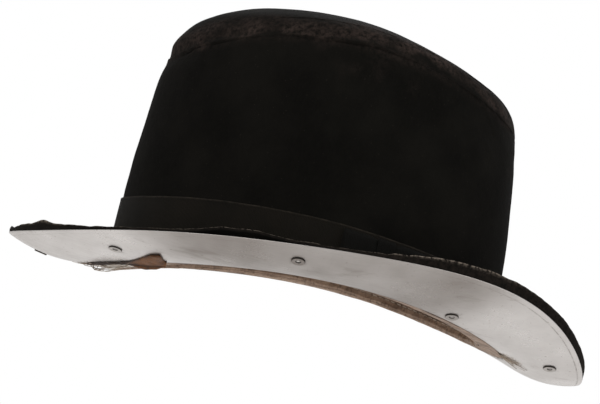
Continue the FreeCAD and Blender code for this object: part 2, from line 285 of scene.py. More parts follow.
def grid_quads(count, columns, close_rows, wrap):
    """Faces between neighbouring grid points, and their corners as (columns, rows) before wrapping."""
    row = np.arange(count if close_rows else count - 1)
    column = np.arange(columns if wrap else columns - 1)
    (row, column) = (a.ravel() for a in np.meshgrid(row, column, indexing="ij"))
    corners = [(column, row), (column + 1, row), (column + 1, row + 1), (column, row + 1)]
    return np.stack([(r % count) * columns + c % columns for (c, r) in corners], axis=-1), corners


def end_caps(count, columns):
    """Quads across the two ends of a grid that doesn't wrap, as (row, column) corners."""
    for end in (0, columns - 1):
        for row in range(count // 2 - 1):
            quad = [row, row + 1, count - 2 - row, count - 1 - row]
            yield [(index, end) for index in (quad if end else quad[::-1])]


def pole_fans(count, columns):
    """Triangles from the first row to one pole and from the last row to the other, with the column."""
    first_pole = count * columns
    for column in range(columns):
        following = (column + 1) % columns
        yield column, [first_pole, following, column]
    last_row = (count - 1) * columns
    for column in range(columns):
        following = (column + 1) % columns
        yield column, [first_pole + 1, last_row + column, last_row + following]


def grid_object(name, rows, values=None, close_rows=True, wrap=True, caps=False, poles=None):
    """A mesh from a grid of points: rows go round the section, columns along the piece or round the hat.

    caps closes the two ends of a grid that doesn't wrap. poles closes the first and last row
    with a fan to a point each.
    """
    (count, columns) = rows.shape[:2]
    points = rows.reshape(-1, 3)
    values = {key: np.broadcast_to(v, (count, columns)).ravel() for (key, v) in (values or {}).items()}
    height = lengths_along(rows, 0)
    width = lengths_along(rows, 1)
    (quads, corners) = grid_quads(count, columns, close_rows, wrap)
    inside_out = signed_volume(points, quads) < 0
    faces = quads.tolist()
    uv = np.stack([np.stack([width[c], height[r]], axis=-1) for (c, r) in corners], axis=1)
    more_uv = []
    for quad in end_caps(count, columns) if caps else ():
        faces.append([row * columns + column for (row, column) in quad])
        more_uv += [(width[column], height[row]) for (row, column) in quad]
    if poles is not None:
        points = np.concatenate([points, poles])
        values = {key: np.append(v, [0.0, 0.0]) for (key, v) in values.items()}
        for (column, triangle) in pole_fans(count, columns):
            faces.append(triangle)
            more_uv += [(0.0, 0.0), (width[column + 1], height[0]), (width[column], height[0])]
    uv = np.concatenate([uv.reshape(-1, 2), np.reshape(more_uv, (-1, 2))])
    piece = new_object(name, points, faces, uv, values)
    if inside_out:
        piece.data.flip_normals()
    return piece


TUBE_SIDES = 6


def tube_points(path, radius):
    """Rows of a round tube along a path; radius is one number or one for each point."""
    path = np.asarray(path, dtype=float)
    tangent = np.gradient(path, axis=0)
    tangent /= np.linalg.norm(tangent, axis=1, keepdims=True)
    side = np.cross(tangent, np.array([0.31, 0.17, 0.94]))
    side /= np.linalg.norm(side, axis=1, keepdims=True)
    other = np.cross(tangent, side)
    turn = all_round(TUBE_SIDES)
    radius = np.broadcast_to(radius, len(path))[None, :, None]
    return path[None] + radius * (
        np.cos(turn)[:, None, None] * side[None] + np.sin(turn)[:, None, None] * other[None]
    )


def join(name, parts):
    """One object from several, which are removed."""
    bpy.ops.object.select_all(action="DESELECT")
    for part in parts:
        part.select_set(True)
    bpy.context.view_layer.objects.active = parts[0]
    bpy.ops.object.join()
    parts[0].name = name
    parts[0].data.name = name
    return parts[0]


# Materials
class Look:
    """A new material and short ways to add its nodes."""

    def __init__(self, name, **sockets):
        self.material = bpy.data.materials.new(name)
        self.material.use_nodes = True
        self.tree = self.material.node_tree
        self.shader = self.tree.nodes["Principled BSDF"]
        self.fill(self.shader, sockets)
        self.place = self.tree.nodes.new("ShaderNodeTexCoord").outputs["Object"]
        self.height = None

    def put(self, value, target):
        """Links a node's output to a socket, or sets the socket to a number or a colour."""
        if isinstance(value, bpy.types.NodeSocket):
            self.tree.links.new(value, target)
        elif target.type == "RGBA":
            target.default_value = value + (1.0,)
        else:
            target.default_value = value

    def fill(self, node, sockets):
        for (key, value) in sockets.items():
            self.put(value, node.inputs[key.replace("_", " ")])

    def add(self, kind, output, **sockets):
        """The named output of a new node, with its inputs filled."""
        node = self.tree.nodes.new("ShaderNode" + kind)
        self.fill(node, sockets)
        return node.outputs[output]

    def stretched(self, factors):
        return self.add("Mapping", "Vector", Scale=factors, Vector=self.place)

    def noise(self, per_metre, detail=3.0, roughness=0.6, place=None, distortion=0.0):
        grain = {"Scale": per_metre, "Detail": detail, "Roughness": roughness, "Distortion": distortion}
        return self.add("TexNoise", "Fac", Vector=place or self.place, **grain)

    def cells(self, per_metre):
        return self.add("TexVoronoi", "Distance", Scale=per_metre, Vector=self.place)

    def waves(self, per_metre, direction, distortion, place=None):
        stripes = {"Scale": per_metre, "Distortion": distortion, "Detail": 2.0}
        waves = self.add("TexWave", "Fac", Vector=place or self.place, **stripes)
        waves.node.bands_direction = direction
        return waves

    def attribute(self, name):
        value = self.add("Attribute", "Fac")
        value.node.attribute_name = name
        return value

    def length_map(self):
        place = self.add("UVMap", "UV")
        place.node.uv_map = "length_map"
        return place

    def between(self, source, low, high, to_low=0.0, to_high=1.0):
        """source stretched from low..high to to_low..to_high, and clamped."""
        ends = {"From Min": low, "From Max": high, "To Min": to_low, "To Max": to_high}
        return self.add("MapRange", "Result", Value=source, **ends)

    def calculated(self, kind, a, b):
        node = self.tree.nodes.new("ShaderNodeMath")
        node.operation = kind
        self.put(a, node.inputs[0])
        self.put(b, node.inputs[1])
        return node.outputs[0]

    def times(self, a, b):
        return self.calculated("MULTIPLY", a, b)

    def mix(self, share, a, b):
        node = self.tree.nodes.new("ShaderNodeMix")
        node.data_type = "RGBA"
        self.put(share, node.inputs[0])
        self.put(a, node.inputs[6])
        self.put(b, node.inputs[7])
        return node.outputs[2]

    def bump(self, height, depth, strength):
        """Adds a bump of the given depth in metres on top of earlier ones."""
        below = {} if self.height is None else {"Normal": self.height}
        self.height = self.add("Bump", "Normal", Height=height, Distance=depth, Strength=strength, **below)
        self.fill(self.shader, {"Normal": self.height})

    def colour(self, source):
        self.fill(self.shader, {"Base Color": source})

    def roughness(self, source):
        self.fill(self.shader, {"Roughness": source})


# The felt's colours, and the colour for the patina and painted reflection shade of the plate and the rivets
FELT_BLACK = (0.0036, 0.0034, 0.0029)
FELT_SOFT = (0.0068, 0.0063, 0.0052)
FELT_WORN = (0.036, 0.026, 0.022)
FELT_FRAY = (0.190, 0.160, 0.130)
STEEL_PATINA_AND_REFLECTION_SHADE = (0.235, 0.205, 0.185)


def felt_look():
    """Brushed fur felt: mottled nap, lint, and brown where it is worn."""
    look = Look("felt", Roughness=0.95, Sheen_Weight=0.01, Sheen_Roughness=0.5, Specular_IOR_Level=0.04)
    mottle = look.between(look.noise(28, 5, 0.62), 0.38, 0.66)
    nap = look.between(look.noise(900, 3, 0.7, look.stretched((1, 1, 0.35))), 0.35, 0.7)
    colour = look.mix(mottle, FELT_BLACK, FELT_SOFT)
    colour = look.mix(look.times(nap, 0.35), colour, FELT_SOFT)
    rub = look.between(look.noise(420, 4, 0.75), 0.36, 0.62)
    worn = look.times(look.attribute("wear"), rub)
    colour = look.mix(worn, colour, FELT_WORN)
    frayed = look.times(look.attribute("fray"), look.between(look.noise(650, 3), 0.42, 0.6))
    colour = look.mix(frayed, colour, FELT_FRAY)
    lint = look.between(look.cells(260), 0.10, 0.04)
    colour = look.mix(look.times(lint, 0.05), colour, FELT_FRAY)
    look.colour(colour)
    look.bump(look.noise(120, 4, 0.6), 0.0006, 0.6)
    look.bump(look.noise(1500, 3, 0.7, look.stretched((1, 1, 0.3))), 0.00025, 0.7)
    return look.material


def ribbon_look(name, dark, light):
    """Grosgrain: fine cross ribs along the length map, with a slight sheen."""
    look = Look(name, Roughness=0.7, Sheen_Weight=0.01, Sheen_Roughness=0.4, Specular_IOR_Level=0.08)
    ribs = look.waves(390, "X", 0.3, look.length_map())
    faded = look.between(look.noise(35, 4), 0.35, 0.68)
    colour = look.mix(faded, dark, light)
    colour = look.mix(look.between(ribs, 0.0, 0.6, 0.45, 0.0), colour, (0.0022, 0.0020, 0.0017))
    edge = look.times(look.attribute("edge"), look.between(look.noise(300, 3), 0.35, 0.6))
    look.colour(look.mix(edge, colour, (0.075, 0.060, 0.045)))
    look.bump(ribs, 0.00018, 0.8)
    look.bump(look.noise(70, 3), 0.0008, 0.35)
    return look.material


def plate_look():
    """Hand-rubbed sheet steel: fine scratches, cloudy smudges, patina with painted reflection shade, and
    darker in its groove, with painted shade along its inner edge and round the rivets.
    """
    look = Look("plate_metal", Metallic=1.0)
    cloudy = look.noise(32, 5, 0.6)
    colour = look.mix(look.between(cloudy, 0.35, 0.7), (0.80, 0.775, 0.76), (0.68, 0.655, 0.64))
    smear = look.noise(55, 4, 0.6, look.stretched((0.45, 1.6, 1.6)), 1.2)
    colour = look.mix(look.between(smear, 0.60, 0.74, 0.0, 0.55), colour, (0.36, 0.33, 0.30))
    spots = look.between(look.noise(520, 2, 0.5), 0.68, 0.76, 0.0, 0.5)
    colour = look.mix(spots, colour, (0.22, 0.17, 0.13))
    # Painted shade and stains from the attribute, broken up by noise
    darkening = look.between(look.noise(240, 4, 0.7), 0.32, 0.62)
    stain_and_painted_shade = look.times(look.attribute("stain_and_painted_shade"), darkening)
    # Patina, and painted darker reflection along the sides
    colour = look.mix(look.attribute("patina_and_painted_reflection"), colour, STEEL_PATINA_AND_REFLECTION_SHADE)
    look.colour(look.mix(stain_and_painted_shade, colour, (0.13, 0.10, 0.08)))
    fine = look.noise(700, 3, 0.6, look.stretched((0.12, 1.0, 1.0)))
    cross = look.noise(500, 3, 0.6, look.stretched((1.0, 0.2, 0.6)))
    hazy = look.between(cloudy, 0.3, 0.75, 0.24, 0.46)
    look.roughness(look.calculated("ADD", hazy, look.between(fine, 0.35, 0.75, -0.04, 0.10)))
    look.bump(fine, 0.00006, 0.6)
    look.bump(cross, 0.00005, 0.5)
    return look.material


def rivet_look(name, light, dark):
    look = Look(name, Metallic=1.0)
    tone = look.between(look.noise(300, 4), 0.35, 0.7)
    colour = look.mix(tone, light, dark)
    # Patina, and on the heads the plate's painted reflection shade
    colour = look.mix(look.attribute("patina_and_painted_reflection"), colour, STEEL_PATINA_AND_REFLECTION_SHADE)
    # Painted shade: dark side walls and middle dips on the heads, and dark feet and middles on the ends
    look.colour(look.mix(look.attribute("stain_and_painted_shade"), colour, (0.030, 0.024, 0.020)))
    look.roughness(look.between(look.noise(900, 3), 0.3, 0.7, 0.28, 0.5))
    look.bump(look.noise(1200, 3), 0.00008, 0.5)
    return look.material


def leather_look(name, light, dark, deep):
    """Old leather: creased grain, darker in the folds, rubbed on the high places."""
    look = Look(name, Specular_IOR_Level=0.35)
    patchy = look.between(look.noise(60, 5, 0.65), 0.35, 0.66)
    colour = look.mix(patchy, light, dark)
    creases = look.noise(420, 5, 0.7, look.stretched((1.0, 1.0, 0.4)), 0.8)
    colour = look.mix(look.between(creases, 0.50, 0.36, 0.0, 0.7), colour, deep)
    colour = look.mix(look.attribute("pale"), colour, (0.78, 0.74, 0.69))
    # Darkened where the attribute says: painted shade in seams, folds and by the plate's edge, and stains
    look.colour(look.mix(look.attribute("stain_and_painted_shade"), colour, deep))
    look.bump(look.cells(750), 0.00025, 0.5)
    look.bump(creases, 0.0005, 0.7)
    look.roughness(look.between(look.noise(200, 3), 0.3, 0.7, 0.45, 0.7))
    return look.material


def lining_look():
    """Satin with a fine weave, yellowed in patches."""
    look = Look("lining", Roughness=0.38, Sheen_Weight=0.2)
    patchy = look.between(look.noise(24, 5, 0.6), 0.38, 0.68)
    colour = look.mix(patchy, (0.62, 0.55, 0.45), (0.47, 0.38, 0.28))
    threads = look.waves(900, "X", 0.2, look.length_map())
    colour = look.mix(look.between(threads, 0.0, 1.0, 0.25, 0.0), colour, (0.30, 0.24, 0.18))
    look.colour(colour)
    look.bump(threads, 0.00008, 0.5)
    look.bump(look.noise(90, 4), 0.0010, 0.4)
    return look.material


def stiffener_look():
    """Shellacked cloth: an open weave under brown shellac."""
    look = Look("stiffener", Roughness=0.5)
    warp = look.waves(420, "X", 0.5)
    weft = look.waves(420, "Z", 0.5)
    weave = look.times(warp, weft)
    colour = look.mix(look.between(weave, 0.05, 0.5), (0.035, 0.024, 0.015), (0.085, 0.058, 0.034))
    look.colour(look.mix(look.between(look.noise(45, 4), 0.4, 0.7, 0.0, 0.6), colour, (0.04, 0.027, 0.017)))
    look.bump(weave, 0.0003, 0.6)
    return look.material


def thread_look():
    look = Look("thread", Roughness=0.8, Sheen_Weight=0.2)
    twist = look.waves(700, "DIAGONAL", 0.4)
    shade = look.between(look.noise(160, 3), 0.35, 0.65)
    colour = look.mix(shade, (0.52, 0.44, 0.36), (0.22, 0.16, 0.11))
    look.colour(colour)
    look.bump(twist, 0.0001, 0.6)
    return look.material


FELT = felt_look()
BAND = ribbon_look("ribbon_band", (0.0070, 0.0060, 0.0042), (0.0115, 0.0092, 0.0064))
BOW = ribbon_look("ribbon_bow", (0.0032, 0.0031, 0.0025), (0.0050, 0.0047, 0.0038))
PLATE = plate_look()
RIVET = rivet_look("rivet_metal", (0.74, 0.72, 0.70), (0.56, 0.53, 0.50))
WASHER = rivet_look("washer_metal", (0.17, 0.15, 0.13), (0.08, 0.065, 0.05))
TAN = leather_look("tan_leather", (0.46, 0.33, 0.245), (0.30, 0.20, 0.145), (0.09, 0.055, 0.035))
BROWN = leather_look("brown_leather", (0.20, 0.070, 0.010), (0.09, 0.030, 0.005), (0.020, 0.008, 0.003))
LINING = lining_look()
STIFFENER = stiffener_look()
THREAD = thread_look()


def finish_piece(piece, material, slot, *nodes):
    """Gives a piece its material and its body, and hides the CAD nodes it stands for. The slot is not used.
    """
    piece.data.materials.clear()
    piece.data.materials.append(material)
    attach(piece, "root")
    if nodes:
        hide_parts(*nodes)


def keep_node(name, material):
    """A CAD node whose shape is right, with a better material."""
    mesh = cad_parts[name].data
    mesh.materials.clear()
    mesh.materials.append(material)


# Crown
GROOVE_WIDTH = 1.1
GROOVE_DEPTH = 0.8
WORN_WIDTH = 9.0


def crown_relief(points, from_edge):
    """How far the felt is moved along the grid's normals; from_edge is positive below the tip's edge."""
    broad = 0.55 * noise(points, 52, 3) + 0.26 * noise(points, 21, 5)
    fine = 0.07 * noise(points, 6.5, 7) + 0.03 * noise(points, 2.4, 9)
    skewed = (points + points[..., [2]] * np.array([0.9, 0.0, 0.0])) * np.array([1.0, 0.5, 0.35])
    creases = 1 - np.abs(noise(skewed, 9.0, 11)) * 2.2
    near_edge = np.exp(-np.maximum(from_edge, 0) / 26) * (from_edge > -14)
    wrinkles = 0.34 * np.clip(creases, 0, 1) * near_edge
    wander = 3.0 * noise(points, 24, 13) + 1.2 * noise(points, 8, 17)
    front_half = smooth(28, -12, points[..., 0])
    creased = 0.12 + 0.88 * front_half * smooth(-0.2, 0.5, noise(points, 40, 19) + 0.35)
    groove = GROOVE_DEPTH * hump(from_edge + wander, 0, GROOVE_WIDTH) * creased
    roll = 0.30 * hump(from_edge + wander, -3.6, 2.4) * creased
    return -0.15 + broad + fine + wrinkles + roll - groove


def front_slump(points, from_edge):
    """How far the crown's front is pressed back at the tip's edge, and filled out just above it."""
    front = smooth(-60, -92, points[..., 0])
    return front * (1.5 * hump(from_edge, 1.5, 5.5) - 1.2 * hump(from_edge, -9, 6))


def moved_by_relief(points, relief, from_edge):
    """The crown's points moved by the relief along their normals, and back where its front is pressed in."""
    moved = points + grid_normals(points) * relief[..., None]
    moved[..., 0] += front_slump(points, from_edge)
    return moved


def crown_wear(points, from_edge):
    """Worn brown felt along the tip's edge, and scuffs elsewhere."""
    ragged = 0.75 + 0.7 * layered_noise(points, 10, 21)
    up = -from_edge + 5.0 * noise(points, 30, 27) + 3.5 * noise(points, 9, 29)
    above = smooth(0.5, 5.0, up) * smooth(WORN_WIDTH + 14, WORN_WIDTH - 3, up)
    below = 0.25 * hump(from_edge, 1.2, 2.2)
    strip = (above + below) * np.clip(ragged, 0, 1)
    scuffs = 0.15 * smooth(0.42, 0.72, layered_noise(points, 26, 25))
    return np.clip(strip + scuffs, 0, 1)


def crown_side():
    t = all_round()[None, :]
    low = foot_height(t) + FELT_RISE
    high = tip_edge_height(t) - 0.01
    share = np.linspace(0, 1, 170)[:, None] ** 0.93
    z = blend(low, high, share)
    outside = wall_points(t, z, 0.0)
    from_edge = high - z
    relief = crown_relief(outside, from_edge)
    under_band = smooth(band_top(t) + 5, band_top(t) - 1, z)
    relief = blend(relief, -0.15 + 0 * relief, under_band)
    wear = crown_wear(outside, from_edge) * (1 - under_band)
    outside = moved_by_relief(outside, relief, from_edge)
    inside_share = np.linspace(1, 0, 14)[:, None]
    inside_high = tip_edge_height(t, CROWN_FELT_THICKNESS) - LAYER_GAP
    inside_z = blend(low, inside_high, inside_share)
    inside = wall_points(t + 0 * inside_share, inside_z, CROWN_FELT_THICKNESS)
    rows = np.concatenate([outside, inside])
    piece = grid_object("crown_side_cover", rows, {"wear": then_zeros(wear, inside), "fray": 0.0})
    finish_piece(piece, FELT, "black_felt", "crown_side_felt")


def crown_tip():
    t = all_round()[None, :]
    rings = np.concatenate([np.linspace(0.03, 0.8, 46), np.linspace(0.81, 1.0, 64)])[:, None]
    outside = tip_points(t, rings, 0.0)
    edge = outside[-1]
    from_edge = -np.linalg.norm(outside - edge[None], axis=-1)
    relief = crown_relief(outside, from_edge)
    relief = relief * smooth(0.03, 0.12, rings) + 0.25 * (1 - smooth(0.03, 0.12, rings))
    wear = crown_wear(outside, from_edge)
    # The normals point into the crown here, so what stands proud on the wall is sunk on the tip.
    outside = moved_by_relief(outside, relief, from_edge)
    inside_rings = np.linspace(1.0, 0.03, 24)[:, None]
    inside = tip_points(t, inside_rings, CROWN_FELT_THICKNESS)
    rows = np.concatenate([outside, inside])
    poles = np.array([outside[0].mean(axis=0), inside[-1].mean(axis=0)])
    values = {"wear": then_zeros(wear, inside), "fray": 0.0}
    piece = grid_object("crown_tip_cover", rows, values, close_rows=False, poles=poles)
    finish_piece(piece, FELT, "black_felt", "crown_tip_felt")


# Brim
LIFTED_THICKNESS = 1.3


def lip_top(t):
    """Top of the brim felt's curled edge above the plate's underside, with its lumps."""
    ring = brim_points(t, 3, 0)
    place = turn_from(t)
    lumps = 0.40 * noise(ring, 9, 31) + 0.24 * noise(ring, 3.5, 33)
    near = 2.1 + 2.9 * hump(place, -158, 8) + 2.4 * hump(place, -151.5, 3.2)
    near = near + 1.8 * hump(place, -143, 8) + 3.1 * hump(place, -106, 8)
    near = near + 4.5 * smooth(-89, -64, place) + 0.5 * hump(place, -56, 9)
    far = 2.6 + 3.9 * smooth(150, 60, place) + 1.2 * hump(place, 148, 7) + 0.8 * hump(place, 108, 12)
    on_far_side = smooth(-0.12, 0.12, np.sin(t))
    return blend(near, far, on_far_side) + lumps


def lifted(t):
    """1 where the felt's edge has come off the plate, on the left a little forward of the middle."""
    return smooth(-122, -112, turn_from(t)) * smooth(-88, -97, turn_from(t))


def brim_profile(t):
    """(reach, rise) round the brim felt's section, in four runs: underside, edge, crest and top."""
    top = lip_top(t)
    bottom = blend(BOARD_RISE, np.maximum(top - LIFTED_THICKNESS, BOARD_RISE), lifted(t))
    foot = 1 - (FOOT_MARGIN - LAYER_GAP) / (FOOT_HALF[0] - OPENING_HALF[0])
    lip = reach_from_edge(LIP_WIDTH - 2 * LAYER_GAP)
    under = [(reach, FELT_RISE) for reach in (foot, 1, 1.5, 2, 2.2, 2.4, 2.6, 2.8, lip)]
    under += [(lip, bottom), (reach_from_edge(1.6), bottom), (reach_from_edge(0.5), bottom)]
    face = [(0.0, 0.02), (0.1, 0.12), (0.0, 0.35), (-0.05, 0.6), (0.0, 0.8), (0.1, 0.9), (0.3, 0.97)]
    edge = [(reach_from_edge(inset), blend(bottom, top, share)) for (inset, share) in face]
    level = np.minimum(top - 0.02, BRIM_TOP_RISE)
    crest = [(reach_from_edge(d), top - 0.02 * (d - 0.8) ** 2) for d in (0.5, 0.8, 1.1, 1.5, 2.0, 2.6)]
    fall = []
    for d in (3.2, 4.0, 5.0, 6.5, 8.5):
        share = smooth(2.6, 8.5, d)
        fall.append((reach_from_edge(d), blend(top - 0.1, blend(level, BRIM_TOP_RISE, share), share)))
    level_reaches = [*np.linspace(2.75, 2.0, 22), 1.9, 1.7, 1.5, 1.3, 1.1, 1.0, foot]
    over = [(reach, BRIM_TOP_RISE) for reach in level_reaches]
    return under, edge, crest, fall + over


def brim_cover():
    t = all_round(FINE_COLUMNS)
    (under, edge, crest, over) = brim_profile(t)
    rows = brim_rows(t, under + edge + crest + over)
    start = len(under) + len(edge) + len(crest)
    relief = np.zeros(rows.shape[:2])
    relief[start:] = 0.5 * noise(rows[start:], 34, 35) + 0.22 * noise(rows[start:], 12, 37)
    relief[-6:] *= np.linspace(1, 0, 6)[:, None]
    relief[len(under):start] = 0.16 * noise(rows[len(under):start], 3.2, 39)
    rows = rows + np.abs(grid_normals(rows)) * np.array([0, 0, 1]) * relief[..., None]
    wear = np.zeros(rows.shape[:2])
    back = smooth(-95, -80, turn_from(t)) * smooth(95, 80, turn_from(t))
    edge_rows = slice(len(under), len(under) + len(edge))
    wear[edge_rows] = 0.18 + 0.12 * back[None]
    wear[start - 6:start] = 0.25
    fray = np.zeros(rows.shape[:2])
    corner = len(under) + len(edge) - 2
    front = 1 - 0.75 * smooth(-62, -48, turn_from(t))
    fray[corner:corner + 2] = front
    fray[corner - 1] = 0.3 * front
    piece = grid_object("brim_cover", rows, {"wear": wear, "fray": fray})
    finish_piece(piece, FELT, "black_felt", "brim_felt")


def painted_reflection_shade(t):
    """Painted reflection shade: the steel is painted dull along both sides and in two patches, and left
    brighter at the front and back.
    """
    along = PLATE_INNER_HALF[0] * np.cos(t)
    sides = smooth(-78, -46, along) * smooth(88, 52, along)
    return 0.58 * sides + 0.24 * hump(along, -34, 16) + 0.16 * hump(along, 44, 14)


def plate_profile():
    """(reach, rise) round the plate's section: its underside with a shallow groove, edge and top."""
    half = PLATE_THICKNESS / 2
    insets = (14, 11, 8, 5.5, 4.0, 3.3, 3.1, 2.9, 2.7, 2.55, 2.45, 2.35, 2.2, 2.08, 2.02, 2.0)
    dips = {2.35: 0.08, 2.45: 0.22, 2.55: 0.30, 2.7: 0.22, 2.9: 0.10}
    bead = ((1.6, 0.02), (1.2, 0.05), (0.8, 0.10), (0.4, 0.2), (0.15, 0.32), (0.03, half))
    top_edge = ((0.05, 0.3), (0.2, 0.1), (0.5, 0.0))
    level_insets = (0.5, 1.2, 3.0, 5.0, 8.0, 11.0, 15.0, 19.0, 23.0, 27.0)
    under = [(reach_from_inner_edge(0.15), 0.15)]
    under += [(reach_from_inner_edge(d), 0.0) for d in level_insets]
    under += [(reach_from_edge(d), dips.get(d, 0.0)) for d in insets]
    edge = [(reach_from_edge(inset), rise) for (inset, rise) in bead]
    edge += [(reach_from_edge(inset), PLATE_THICKNESS - drop) for (inset, drop) in top_edge]
    over = [(reach_from_edge(d), PLATE_THICKNESS) for d in (2.5, 6.0, 12.0, 18.0, 24.0, 30.0, 36.0, 40.0)]
    over += [(reach_from_inner_edge(0.5), PLATE_THICKNESS), (reach_from_inner_edge(0.15), 0.85)]
    over += [(reach_from_inner_edge(0.0), half)]
    return under, edge + over


def plate_stain_and_painted_shade(rows, reaches, is_under):
    """Darker in the groove near the outer edge, more towards the back, with painted shadow along the inner
    edge and painted shade round the rivets.
    """
    groove = hump(reaches, reach_from_edge(2.55), 0.007) * is_under
    # Painted shadow along the inner edge, where the plate meets the leather
    inner = hump(reaches, 2.0, 0.025)
    groove_darkening = 0.12 + 0.5 * smooth(40, 120, rows[..., 0])
    stain_and_painted_shade = groove_darkening * groove[:, None] + 0.8 * inner[:, None]
    # Painted shade in a ring where each rivet head meets the plate
    for (degrees, reach) in RIVET_PLACES:
        centre = brim_points(np.array([math.radians(degrees)]), reach, 0)[0]
        away = np.linalg.norm(rows - centre, axis=-1)
        stain_and_painted_shade += 0.5 * hump(away, 3.7, 0.7) * is_under[:, None]
    return np.clip(stain_and_painted_shade, 0, 1)


def plate_cover():
    t = all_round(FINE_COLUMNS)
    (under, rest) = plate_profile()
    rows = brim_rows(t, under + rest)
    reaches = np.array([reach for (reach, rise) in under + rest])
    sway = 0.16 * noise(rows, 38, 41) + 0.07 * noise(rows, 15, 43)
    rows[..., 2] += sway * smooth(0.0, 0.2, np.minimum(reaches - 2, 3 - reaches))[:, None]
    is_under = np.arange(len(reaches)) < len(under) + 3
    blotches = 0.16 * noise(rows, 26, 45) + 0.07 * noise(rows, 9, 47)
    # Random patina blotches, on top of the painted reflection shade along the sides
    patina_and_painted_reflection = painted_reflection_shade(t)[None] + blotches * (0.35 + painted_reflection_shade(t)[None])
    values = {"stain_and_painted_shade": plate_stain_and_painted_shade(rows, reaches, is_under), "patina_and_painted_reflection": np.clip(patina_and_painted_reflection, 0, 1)}
    piece = grid_object("plate_cover", rows, values)
    finish_piece(piece, PLATE, "plate_metal", "brim_plate")


# Rivets
RIVET_SIDES = 40
RIVET_PROFILE = (
    # radius, height below the plate, painted shade: dark side wall and middle dip
    (3.45, -0.15, 1.0),
    (3.55, 0.10, 1.0),
    (3.55, 0.34, 1.0),
    (3.42, 0.55, 0.8),
    (3.22, 0.66, 0.15),
    (2.95, 0.70, 0.0),
    (2.60, 0.66, 0.0),
    (2.20, 0.50, 0.0),
    (1.80, 0.40, 0.0),
    (1.50, 0.40, 0.15),
    (1.30, 0.42, 1.0),
    (1.10, 0.22, 1.0),
    (0.80, 0.02, 1.0),
    (0.40, -0.04, 1.0),
)
RIVET_END_RISE = 0.9        # above the brim's felt
RIVET_END_FOOT = -0.2       # the shank's lower end, above the plate's underside
RIVET_END_PROFILE = (
    # radius, height, painted shade: dark foot and middle dip
    (1.95, 0.1, 0.2),
    (2.5, 0.2, 0.3),
    (2.9, 0.4, 0.1),
    (2.8, 0.7, 0.0),
    (2.3, 0.95, 0.0),
    (1.6, 1.0, 0.1),
    (1.1, 0.8, 0.8),
    (0.5, 0.5, 1.0),
)


def brim_frame(t, reach):
    """The point on the plate's underside and the outward normal there."""
    step = 0.01
    at = [brim_points(np.array([a]), r, 0)[0] for (a, r) in
          ((t, reach), (t - step, reach), (t + step, reach), (t, reach - step), (t, reach + step))]
    normal = np.cross(at[4] - at[3], at[2] - at[1])
    return at[0], normal / np.linalg.norm(normal)


def turned_disc(name, place, profile, close_point, patina_and_reflection_share):
    """A revolved shape on the brim's normal at a place, from (radius, height, painted shade)."""
    (centre, normal) = brim_frame(*place)
    side = np.cross(normal, [0.0, 1.0, 0.0])
    side /= np.linalg.norm(side)
    other = np.cross(normal, side)
    turn = all_round(RIVET_SIDES)
    ring = np.cos(turn)[:, None] * side + np.sin(turn)[:, None] * other
    rows = np.array([centre + ring * radius + normal * height for (radius, height, darkening) in profile])
    stain_and_painted_shade = np.array([darkening for (radius, height, darkening) in profile])[:, None]
    poles = np.array([centre + normal * profile[0][1], centre + normal * close_point])
    values = {"stain_and_painted_shade": stain_and_painted_shade, "patina_and_painted_reflection": patina_and_reflection_share + 0 * stain_and_painted_shade}
    return grid_object(name, rows, values, close_rows=False, poles=poles)


def rivets():
    """Heads under the plate, and the spread ends that hold the washers on top."""
    discs = []
    head = [(radius, -height, darkening) for (radius, height, darkening) in RIVET_PROFILE]
    for (i, (degrees, reach)) in enumerate(RIVET_PLACES):
        place = (math.radians(degrees), reach)
        tilt = brim_frame(*place)[1][2]
        base = BRIM_TOP_RISE * tilt + RIVET_END_RISE
        end = [(RIVET_END_PROFILE[0][0], RIVET_END_FOOT, 0.0)]
        end += [(radius, base + height, darkening) for (radius, height, darkening) in RIVET_END_PROFILE]
        # The heads take the plate's painted reflection shade; the ends are dull all over
        patina_and_reflection_share = 0.25 + float(painted_reflection_shade(place[0]))
        discs.append(turned_disc("rivet_head_%d" % i, place, head, 0.02, patina_and_reflection_share))
        discs.append(turned_disc("rivet_end_%d" % i, place, end, end[-1][1] - 0.1, 1.0))
    piece = join("rivet_set", discs)
    finish_piece(piece, RIVET, "rivet_metal", "brim_rivets")


# Ribbon
def band_ribbon():
    t = all_round()
    low = band_foot(t)
    high = band_top(t)
    seam = wall_points(t, high, 0)
    high = high + 0.25 * noise(seam, 30, 51) + 0.12 * noise(seam, 9, 53)
    shares = [0.0, 0.01, 0.03, *np.linspace(0.06, 0.94, 34), 0.965, 0.985, 0.995, 1.0]
    shares = np.array(shares)[:, None]
    z = blend(low[None], high[None], shares)
    outer = -(LAYER_GAP + RIBBON_THICKNESS)
    bead = 0.14 * (hump(shares, 0.975, 0.018) + hump(shares, 0.03, 0.02))
    ripple = 0.16 * noise(wall_points(t, z, 0), 30, 55)
    ripple = ripple + 0.10 * noise(wall_points(t, z * 0.25, 0), 9, 57)
    round_off = 0.30 * (smooth(0.02, 0.0, shares) + smooth(0.99, 1.0, shares))
    outside = wall_points(t, z, outer - bead - ripple + round_off)
    inside = wall_points(t, z[::-6], -LAYER_GAP)
    rows = np.concatenate([outside, inside])
    edge = 0.25 * smooth(0.975, 0.992, shares) + 0 * z
    piece = grid_object("band_ribbon", rows, {"edge": then_zeros(edge, inside)})
    finish_piece(piece, BAND, "ribbon", "hat_band")


def angles_at(xs):
    """The angles on the wearer's left side where the wall is xs behind the middle."""
    middle = band_top(-math.pi / 2)
    reach = wall_points(np.array(0.0), middle, 0.0)[0] - lean_at(middle)
    return -np.arccos((xs - lean_at(middle)) / reach)


